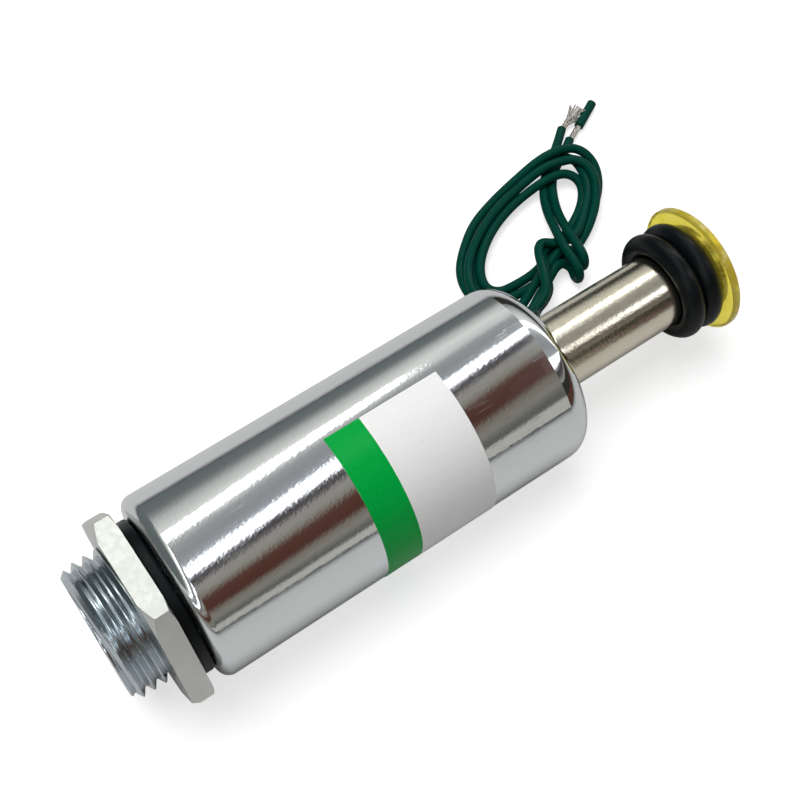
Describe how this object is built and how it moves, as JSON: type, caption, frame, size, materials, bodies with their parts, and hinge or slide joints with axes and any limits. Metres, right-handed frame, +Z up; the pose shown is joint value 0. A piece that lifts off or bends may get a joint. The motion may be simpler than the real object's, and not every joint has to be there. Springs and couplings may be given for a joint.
{
  "type": "push pull solenoid",
  "caption": "Tubular push pull solenoid with a threaded nose, mounting nut, sprung plunger with rubber rings and stop disc, and two loose leads.",
  "frame": {"origin": "under the middle of the solenoid's length and width, on the surface that the case lies on", "axes": "+X along the plunger's axis from the threaded nose to the plunger's outer end, +Z up"},
  "size_m": [0.107, 0.0526, 0.0251],
  "materials": {
    "chrome_case": "bright chrome plate",
    "zinc_pole": "bright zinc plate, turned",
    "zinc_nut": "bright zinc plate",
    "nickel_plunger": "bright nickel plate",
    "steel_rod": "ground stainless steel",
    "spring_steel": "spring steel",
    "black_rubber": "black nitrile rubber",
    "amber_urethane": "translucent amber polyurethane",
    "vinyl_label": "white vinyl with a green band",
    "green_pvc": "dark green PVC insulation",
    "tinned_copper": "tinned copper strands",
    "copper_winding": "enamelled copper",
    "coil_tape": "yellow polyester tape",
    "bobbin_nylon": "natural nylon",
    "brass_tube": "drawn brass",
    "flux_steel": "soft iron"
  },
  "bodies": {
    "housing": {"outer_case": "chrome_case", "front_pole": "zinc_pole", "rear_flux_ring": "flux_steel", "coil_bobbin": "bobbin_nylon", "coil_winding": "copper_winding", "coil_tape": "coil_tape", "guide_tube": "brass_tube", "rod_bush": "brass_tube", "lead_grommet": "black_rubber", "rating_label": "vinyl_label", "return_spring": "spring_steel", "lead_upper": "green_pvc", "lead_lower": "green_pvc", "splice_sleeve_upper": "coil_tape", "splice_sleeve_lower": "coil_tape", "lead_hank": "green_pvc", "lead_upper_tail": "green_pvc", "strands_upper": "tinned_copper", "strands_lower": "tinned_copper", "insulation_slug": "green_pvc"},
    "plunger_set": {"plunger": "nickel_plunger", "push_rod": "steel_rod", "rod_clip": "spring_steel", "damper_ring_front": "black_rubber", "damper_ring_rear": "black_rubber", "stop_disc": "amber_urethane", "retaining_ring": "spring_steel"},
    "washer_set": {"seal_washer": "black_rubber"},
    "nut_set": {"mounting_nut": "zinc_nut"}
  },
  "joints": [
    {"name": "plunger_slide", "type": "slide", "parent": "housing", "child": "plunger_set", "axis": [-1, 0, 0], "range_m": [0, 0.0195], "stiffness_N_per_m": 260, "springref_m": -0.004, "deforming": ["return_spring"]},
    {"name": "washer_slide", "type": "slide", "parent": "housing", "child": "washer_set", "axis": [-1, 0, 0], "range_m": [0, 0.0045]},
    {"name": "nut_turn", "type": "hinge", "parent": "washer_set", "child": "nut_set", "pos_m": [-0.041, 0, 0.0125], "axis": [-1, 0, 0], "range_deg": [0, 1080.5]}
  ],
  "couplings": [
    {"joint": "nut_turn", "follows": "washer_slide", "rad_per_m": 4188.8}
  ]
}
